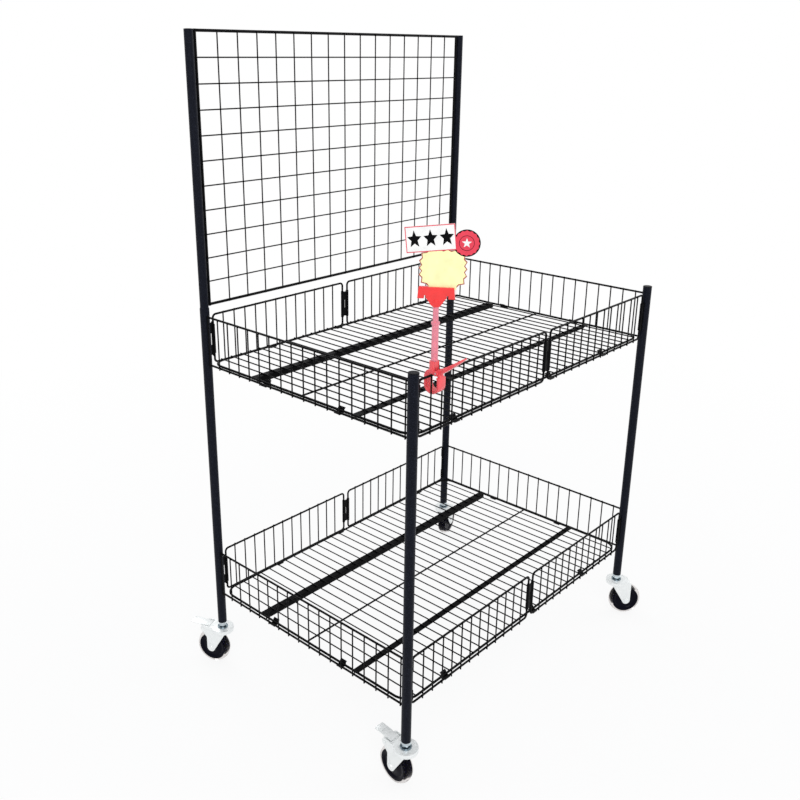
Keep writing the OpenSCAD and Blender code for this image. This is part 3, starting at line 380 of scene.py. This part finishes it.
def softened(node, name, rounding, body, material):
    """Puts a copy of a CAD solid, with its sharp edges rounded, in the place of that solid."""
    piece = nodes[node].copy()
    piece.data = nodes[node].data.copy()
    piece.parent = None
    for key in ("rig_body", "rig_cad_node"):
        del piece[key]
    bpy.context.scene.collection.objects.link(piece)
    pick(piece)
    bpy.ops.object.mode_set(mode="EDIT")
    bpy.ops.mesh.select_all(action="SELECT")
    bpy.ops.mesh.customdata_custom_splitnormals_clear()
    bpy.ops.mesh.remove_doubles(threshold=same_point)
    bpy.ops.mesh.dissolve_limited(angle_limit=same_plane)
    bpy.ops.object.mode_set(mode="OBJECT")
    finish_with(piece, "BEVEL", width=rounding, segments=2, limit_method="ANGLE", angle_limit=sharp_edge,
                use_clamp_overlap=False)
    bpy.ops.object.shade_smooth_by_angle(angle=smooth_turn)
    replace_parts(fit(piece, name, body, material), node)


corners = {f"{end}_{side}": trolley_middle + Vector((x * half_x, y * half_y, 0))
           for end, y in (("front", -1), ("rear", 1)) for side, x in (("left", -1), ("right", 1))}
for corner in corners:
    softened(f"{corner}_fork", f"{corner}_pressed_fork", fork_rounding, f"{corner}_castor", zinc)

# Axles
# A steel rivet through both legs carries the wheel. Its heads are domed by spinning them over, and
# it is zinc plated like the fork.
dress(zinc, *[f"{corner}_axle" for corner in corners])

# Wheels
# A glossy black plastic core with a dished face and a raised lip is moulded into a clear soft tread,
# which looks black where the core is behind it and cream where the floor is.
wheel_radius = 0.041
tread_half = 0.012
tread_crown = 0.003
shoulder = 0.003
tread_steps = (1, 0.83, 0.67, 0.5, 0.33, 0.17)
bore = 0.00406
core_radius = 0.034
core_half = 0.0108
edge_relief = 0.0004
tread_edge = 0.0003
bond = 0.0004
wheel_sides = 96
castor_trail = 0.026
headings = {"front_left": 84, "front_right": -42, "rear_left": 111, "rear_right": 15}


def turned(outline, steps):
    """An outline of (radius, height) points, drawn by extruding one point and spun round the Y axis."""
    bpy.ops.object.select_all(action="DESELECT")
    bpy.ops.mesh.primitive_plane_add(size=0.001, location=(*outline[0], 0))
    piece = settle(bpy.context.object)
    bpy.ops.object.mode_set(mode="EDIT")
    bpy.ops.mesh.select_mode(type="VERT")
    bpy.ops.mesh.select_all(action="SELECT")
    bpy.ops.mesh.merge(type="CENTER")
    for here, there in zip(outline, outline[1:] + outline[:1]):
        step = (there[0] - here[0], there[1] - here[1], 0)
        bpy.ops.mesh.extrude_region_move(TRANSFORM_OT_translate={"value": step})
    bpy.ops.mesh.select_all(action="SELECT")
    bpy.ops.mesh.remove_doubles(threshold=same_point / 2)
    bpy.ops.mesh.select_all(action="SELECT")
    bpy.ops.mesh.spin(steps=steps, angle=2 * math.pi, center=(0, 0, 0), axis=(0, 1, 0))
    bpy.ops.mesh.select_all(action="SELECT")
    bpy.ops.mesh.remove_doubles(threshold=same_point / 2)
    bpy.ops.mesh.normals_make_consistent(inside=False)
    bpy.ops.object.mode_set(mode="OBJECT")
    bpy.ops.object.shade_smooth_by_angle(angle=smooth_turn)
    return piece


def both_sides(outline):
    """An outline from the axle outwards on one side, and back on the other."""
    return outline + [(radius, -height) for radius, height in reversed(outline)]


def copied(piece, place, heading):
    copy = piece.copy()
    copy.data = piece.data.copy()
    bpy.context.scene.collection.objects.link(copy)
    copy.location = place
    copy.rotation_euler = (0, 0, heading)
    return settle(copy)


boss = [(bore, 0.014), (0.0086, 0.014), (0.0091, 0.0135), (0.0105, 0.009)]
dish = [(0.0115, 0.0084), (0.0245, 0.0084), (0.0260, 0.0098), (0.0275, 0.0108)]
lip = [(0.0325, 0.0112), (0.0336, 0.0110), (core_radius, core_half - edge_relief)]
core = turned(both_sides(boss + dish + lip), wheel_sides)
flank = wheel_radius - tread_crown - shoulder
side_face = [(core_radius - bond, core_half - bond), (core_radius + tread_edge, tread_half - edge_relief),
             (flank, tread_half)]
edge_turn = [(flank + shoulder * math.sin(angle), tread_half - shoulder * (1 - math.cos(angle)))
             for angle in (math.radians(15 * step) for step in range(1, 6))]
running_face = [(wheel_radius - tread_crown * t ** 2, t * (tread_half - shoulder)) for t in tread_steps]
tread = turned(both_sides(side_face + edge_turn + running_face), wheel_sides)
core_black = moulded("wheel_core_plastic", (0.001, 0.001, 0.006), roughness=0.24, specular=0.06)
clear_tread = moulded("clear_tread", (0.80, 0.77, 0.76), roughness=0.10, transmission=1.0, ior=1.07)
for corner, place in corners.items():
    heading = math.radians(headings[corner])
    axle_place = place + Vector((castor_trail * math.cos(heading), castor_trail * math.sin(heading),
                                 wheel_radius))
    wheel = f"{corner}_wheel"
    hub = fit(copied(core, axle_place, heading), f"{corner}_moulded_hub", wheel, core_black)
    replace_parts(hub, f"{corner}_hub")
    tyre = fit(copied(tread, axle_place, heading), f"{corner}_clear_tread", wheel, clear_tread)
    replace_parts(tyre, f"{corner}_tyre")
bpy.data.objects.remove(core)
bpy.data.objects.remove(tread)

# Brake pedals
# The two castors on the left have a pressed steel pedal, zinc plated like the fork. It turns on a pin
# through the ears of the fork and pushes its shoe onto the tread.
pedal_rounding = 0.0004
for corner in ("front_left", "rear_left"):
    softened(f"{corner}_brake_pedal", f"{corner}_pressed_pedal", pedal_rounding, f"{corner}_brake", zinc)

# Basket sides
# Each basket is a fence of welded steel wire: 4.5 mm frame wires and 3 mm uprights, in a smooth black
# coat. The uprights are spot welded to the frame wires, and the end wires are welded to the posts.
tiers = {"lower": 0.193, "upper": 0.757}
fences = ("left_end_fence", "right_end_fence", "front_left_fence", "front_right_fence", "rear_left_fence",
          "rear_right_fence")
fence_height = 0.106
frame_wire = 0.0045
melt = 0.0005
spot_out = (frame_wire - melt) / 2
end_pitch = 0.0324
end_uprights = {-1: 18, 1: 17}
half_spaces = 13
mid_gap = 0.016
post_radius = 0.010
eye_x = 0.01355
sleeve_x = 0.020
end_spot = (0.0012, 0.0020, 0.0024)
post_spot = (0.0036, 0.0018, 0.0036)
long_spot = (0.0020, 0.0012, 0.0024)


def black_coat(name, specular):
    material, tree, shader = surface(name, specular)
    tint(tree, shader, metre_noise(tree, scale=60), [(0.3, (0.001, 0.001, 0.0013)),
                                                     (0.7, (0.003, 0.003, 0.0036))])
    polish(tree, shader, metre_noise(tree, scale=300), low=0.26, high=0.42)
    bump(tree, shader, metre_noise(tree, scale=800), strength=0.2, depth=0.0003)
    return material


def weld_spots(place, size, *rows):
    """A lumpy melted spot, repeated along rows that are each given as (count, step)."""
    bpy.ops.object.select_all(action="DESELECT")
    bpy.ops.mesh.primitive_uv_sphere_add(segments=8, ring_count=6, radius=1, location=place)
    spots = bpy.context.object
    spots.scale = size
    settle(spots)
    bpy.ops.object.mode_set(mode="EDIT")
    bpy.ops.mesh.select_all(action="SELECT")
    bpy.ops.transform.vertex_random(offset=min(size) * 0.18, seed=7)
    bpy.ops.object.mode_set(mode="OBJECT")
    bpy.ops.object.shade_smooth()
    for count, step in rows:
        repeat(spots, count, step)
    return spots


def gathered(pieces):
    bpy.ops.object.select_all(action="DESELECT")
    for piece in pieces:
        piece.select_set(True)
    bpy.context.view_layer.objects.active = pieces[0]
    bpy.ops.object.join()
    return pieces[0]


wire_coat = black_coat("black_wire_coat", specular=0.06)
for tier, tier_z in tiers.items():
    dress(wire_coat, *[f"{tier}_{fence}" for fence in fences])
    level = trolley_middle + Vector((0, 0, tier_z))
    top_too = (2, (0, 0, fence_height))
    spots = []
    for side in (-1, 1):
        count = end_uprights[side]
        first = level + Vector((side * (half_x + spot_out), -(count - 1) / 2 * end_pitch, 0))
        spots.append(weld_spots(first, end_spot, (count, (0, end_pitch, 0)), top_too))
        first = level + Vector((side * half_x, -half_y + post_radius, 0))
        spots.append(weld_spots(first, post_spot, (2, (0, 2 * (half_y - post_radius), 0)), top_too))
        for start, end in ((eye_x - half_x, -mid_gap / 2), (mid_gap / 2, half_x - sleeve_x)):
            step = (end - start) / half_spaces
            first = level + Vector((-side * (start + step), side * (half_y + spot_out), 0))
            spots.append(weld_spots(first, long_spot, (half_spaces - 1, (-side * step, 0, 0)), top_too))
    fit(gathered(spots), f"{tier}_fence_welds", "frame", wire_coat)

# Hinges and shelf cradles
# The long sides fold: their end wires turn in sheet steel sleeves and eyes welded to the posts, and
# in a double sleeve where the two halves meet. Bent sheet cradles under the wires hold the shelf.
sleeve_half = 0.032
web_half = 0.0012
eye_half = 0.010
eye_low = 0.020
bead_foot = post_radius + 0.0003
sleeve_bead = (0.0011, 0.0011, 0.0013)
eye_bead = (0.0009, 0.0011, 0.0012)
sleeve_steps = 32
eye_steps = 12
for tier, tier_z in tiers.items():
    dress(wire_coat, f"{tier}_hinges", f"{tier}_shelf_cradles")
    level = trolley_middle + Vector((0, 0, tier_z))
    beads = []
    for side in (-1, 1):
        for face_y in (side * half_y - web_half, side * half_y + web_half):
            first = level + Vector((-side * (half_x - bead_foot), face_y, fence_height / 2 - sleeve_half))
            seam = (sleeve_steps + 1, (0, 0, 2 * sleeve_half / sleeve_steps))
            beads.append(weld_spots(first, sleeve_bead, seam))
            first = level + Vector((side * (half_x - bead_foot), face_y, eye_low - eye_half))
            seam = (eye_steps + 1, (0, 0, 2 * eye_half / eye_steps))
            beads.append(weld_spots(first, eye_bead, seam, (2, (0, 0, fence_height - 2 * eye_low))))
    fit(gathered(beads), f"{tier}_hinge_welds", "frame", wire_coat)

# Shelves
# A shelf lifts out. A 5 mm wire is bent into its edge, 2.8 mm wires lie across it, a 4 mm wire runs
# under their middle, and two sheet steel angles in a duller coat stiffen it. All are spot welded.
shelf_rise = 0.002
shelf_inset = 0.0065
shelf_wire = 0.005
shelf_spaces = 31
angle_y = 0.145
shelf_x = half_x - shelf_inset
shelf_y = half_y - shelf_inset
cross_pitch = 2 * shelf_x / shelf_spaces
across = (shelf_spaces - 1, (cross_pitch, 0, 0))
edge_spot = (0.0019, 0.0024, 0.0012)
middle_spot = (0.0019, 0.0022, 0.0010)
angle_spot = (0.0018, 0.0026, 0.0007)
angle_coat = black_coat("black_angle_coat", specular=0.03)
for tier, tier_z in tiers.items():
    dress(wire_coat, f"{tier}_shelf")
    dress(angle_coat, f"{tier}_shelf_stiffeners")
    weld_z = tier_z + shelf_rise + shelf_wire / 2 - melt
    crossing = trolley_middle + Vector((cross_pitch - shelf_x, 0, weld_z))
    spots = [weld_spots(crossing - Vector((0, shelf_y, 0)), edge_spot, across, (2, (0, 2 * shelf_y, 0))),
             weld_spots(crossing, middle_spot, across),
             weld_spots(crossing - Vector((0, angle_y, 0)), angle_spot, across, (2, (0, 2 * angle_y, 0)))]
    fit(gathered(spots), f"{tier}_shelf_welds", f"{tier}_shelf_body", wire_coat)

# Header posts, joining tubes and caps
# Slimmer 18 mm tubes plug onto the rear posts over a bare steel joining tube and carry the header.
# A black moulded cap closes the top of every post.
dress(post_coat, "rear_left_extension", "rear_right_extension")
bare_steel = metal("bare_steel", specular=0.5, metallic=0.9, dark=(0.34, 0.34, 0.35), pale=(0.46, 0.46, 0.47),
                   low=0.3, high=0.5)
dress(bare_steel, "extension_spigots")
dress(moulded("cap_plastic", (0.006, 0.006, 0.008), roughness=0.42, specular=0.08), "post_caps")

# Header grid
# The back panel is a 6 mm wire frame filled with 2.8 mm wires, sixteen columns by eleven rows. The
# wires are spot welded where they cross, and pressed hooks hold the panel in slots in the posts.
grid_low, grid_high = 0.887, 1.427
grid_columns, grid_rows = 16, 11
stile_x = 0.402
crossing_y = -0.00275
rail_weld_y = -0.0027
stile_weld_y = -0.0024
crossing_spot = (0.0018, 0.0011, 0.0018)
rail_spot = (0.0020, 0.0012, 0.0026)
stile_spot = (0.0034, 0.0014, 0.0018)
column = 2 * stile_x / grid_columns
row = (grid_high - grid_low) / grid_rows
columns = (grid_columns - 1, (column, 0, 0))
rows = (grid_rows - 1, (0, 0, row))
grid_foot = trolley_middle + Vector((0, half_y, grid_low))
dress(wire_coat, "back_grid")
spots = [weld_spots(grid_foot + Vector((column - stile_x, crossing_y, row)), crossing_spot, columns, rows),
         weld_spots(grid_foot + Vector((column - stile_x, rail_weld_y, 0)), rail_spot, columns,
                    (2, (0, 0, grid_high - grid_low))),
         weld_spots(grid_foot + Vector((-stile_x, stile_weld_y, row)), stile_spot, rows,
                    (2, (2 * stile_x, 0, 0)))]
fit(gathered(spots), "back_grid_welds", "frame", wire_coat)

# Sign clip
# A spring clip of translucent red plastic hangs on the top wire of the upper basket. Its jaw carries
# the sign, and its lever turns on a steel pin.
clip_rounding = 0.0006
clip_red = moulded("clip_plastic", (1.0, 0.11, 0.13), roughness=0.16, transmission=0.08, ior=1.47)
softened("sign_clamp_jaw", "clip_jaw", clip_rounding, "frame", clip_red)
softened("sign_clamp_lever", "clip_lever_handle", clip_rounding, "clip_lever", clip_red)
dress(zinc, "sign_clamp_pin")

# Sign stem and card holder
# The stem turns on a peg in the jaw and is moulded in translucent red; its colour is paler pink all over, a
# painted highlight. The holder on its top is solid red and grips the card in a slot.
holder_rounding = 0.0007
# The stem's red is paled to pink as a painted highlight.
stem_red_with_painted_highlight = moulded("stem_plastic_with_painted_highlight", (1.0, 0.33, 0.42), roughness=0.10, transmission=0.3, ior=1.47)
dress(stem_red_with_painted_highlight, "sign_stem")
holder_red = moulded("holder_plastic", (0.90, 0.035, 0.035), roughness=0.3)
softened("sign_card_holder", "card_holder_bar", holder_rounding, "sign", holder_red)

# Sign card
# A die-cut printed card stands in the holder: a pale burst with a brown-red edge, a white banner with
# plain stars, and a red rosette. Each print is a thin layer on both faces of the card.
clip_x, clip_y = 0.057, 0.002
top_wire_z = tiers["upper"] + fence_height
peg_rise, stem_rise, slot_rise = 0.02395, 0.103, 0.028
card_z = top_wire_z + peg_rise + stem_rise + slot_rise
card_place = trolley_middle + Vector((clip_x - half_x, clip_y - half_y, card_z))
card_heading = math.radians(-55)
card_thickness = 0.0008
print_thickness = 0.00003
burst_w, burst_h = 0.082, 0.068
burst_points = 18
burst_dent = 0.9
burst_rim, burst_line = 0.0006, 0.0044
burst_at = (0.010, burst_h / 2 - 0.002)
tab_w, tab_h = 0.047, 0.022
tab_at = (burst_at[0], tab_h / 2 - 0.004)
rosette_d, ring_d, heart_d, rosette_star_d = 0.046, 0.0255, 0.0238, 0.017
rosette_points = 16
rosette_rim, rosette_line = 0.0005, 0.003
rosette_at = (0.048, burst_h + 0.008)
banner_w, banner_h = 0.084, 0.044
banner_rim, banner_line = 0.0004, 0.0034
banner_tilt = math.radians(6)
banner_at = (-0.012, burst_h + 0.014)
banner_star_w, banner_star_h = 0.025, 0.031
banner_star_shifts = (-0.027, 0.0, 0.027)


def card_ink(name, color, specular=0.35):
    return moulded(name, color, roughness=0.5, grain=1600, specular=specular)


def star_shape(corner_count, width, height, reach):
    """A flat figure of so many corners, each at its own share of the radius, which reach(index) gives."""
    bpy.ops.object.select_all(action="DESELECT")
    bpy.ops.mesh.primitive_circle_add(vertices=corner_count, radius=0.5, fill_type="NGON")
    figure = bpy.context.object
    bpy.ops.object.mode_set(mode="EDIT")
    bpy.ops.mesh.select_mode(type="VERT")
    for index in range(corner_count):
        bpy.ops.mesh.select_all(action="DESELECT")
        mesh = bmesh.from_edit_mesh(figure.data)
        mesh.verts.ensure_lookup_table()
        mesh.verts[index].select = True
        bpy.ops.transform.resize(value=(reach(index),) * 3, center_override=(0, 0, 0))
    bpy.ops.object.mode_set(mode="OBJECT")
    figure.scale = (width, height, 1)
    return settle(figure)


def disc(size):
    return star_shape(64, size, size, lambda index: 1)


def star(points, width, height, waist):
    return star_shape(2 * points, width, height, lambda index: waist if index % 2 else 1)


def burst(rim):
    """A soft square with short points all round, this much smaller than the card it is printed on."""
    def reach(index):
        angle = math.pi / 2 + index * math.pi / burst_points
        square = (math.cos(angle) ** 4 + math.sin(angle) ** 4) ** -0.25
        return square if index % 2 else square * burst_dent
    return star_shape(2 * burst_points, burst_w - rim, burst_h - rim, reach)


def board(width, height):
    bpy.ops.object.select_all(action="DESELECT")
    bpy.ops.mesh.primitive_plane_add(size=1)
    figure = bpy.context.object
    figure.scale = (width, height, 1)
    return settle(figure)


def printed(figure, name, layer, material, place, tilt=0.0):
    """Stands a flat figure on the card, tilted, at a place in the card's own plane, on both faces."""
    figure.rotation_euler = (0, 0, tilt)
    figure.location = (*place, 0)
    settle(figure)
    finish_with(figure, "SOLIDIFY", thickness=card_thickness + 2 * layer * print_thickness, offset=0)
    figure.rotation_euler = (math.pi / 2, 0, card_heading)
    figure.location = card_place
    fit(settle(figure), name, "sign", material)


ink_white = card_ink("card_white", (0.93, 0.93, 0.92))
ink_yellow = card_ink("card_yellow", (1.0, 0.98, 0.52))
ink_brown = card_ink("card_brown_red", (0.42, 0.05, 0.03))
ink_red = card_ink("card_red", (0.80, 0.05, 0.09))
ink_black = card_ink("card_black", (0.004, 0.004, 0.005), specular=0.03)
dress(ink_white, "sign_card")
printed(burst(burst_rim), "burst_edge", 1, ink_brown, burst_at)
printed(burst(burst_line), "burst_field", 2, ink_yellow, burst_at)
printed(board(tab_w, tab_h), "tab_field", 3, ink_yellow, tab_at)
printed(disc(rosette_d - rosette_rim), "rosette_edge", 4, ink_black, rosette_at)
scalloped_d = rosette_d - rosette_line
printed(star(rosette_points, scalloped_d, scalloped_d, waist=0.92), "rosette_field", 5, ink_red, rosette_at)
printed(disc(ring_d), "rosette_ring", 6, ink_black, rosette_at)
printed(disc(heart_d), "rosette_heart", 7, ink_red, rosette_at)
printed(star(5, rosette_star_d, rosette_star_d, waist=0.42), "rosette_star", 8, ink_white, rosette_at)
printed(board(banner_w - banner_rim, banner_h - banner_rim), "banner_edge", 9, ink_red, banner_at,
        banner_tilt)
printed(board(banner_w - banner_line, banner_h - banner_line), "banner_field", 10, ink_white, banner_at,
        banner_tilt)
for number, shift in enumerate(banner_star_shifts, start=1):
    star_at = (banner_at[0] + shift * math.cos(banner_tilt), banner_at[1] + shift * math.sin(banner_tilt))
    printed(star(5, banner_star_w, banner_star_h, waist=0.45), f"banner_star_{number}", 11, ink_black,
            star_at, banner_tilt)
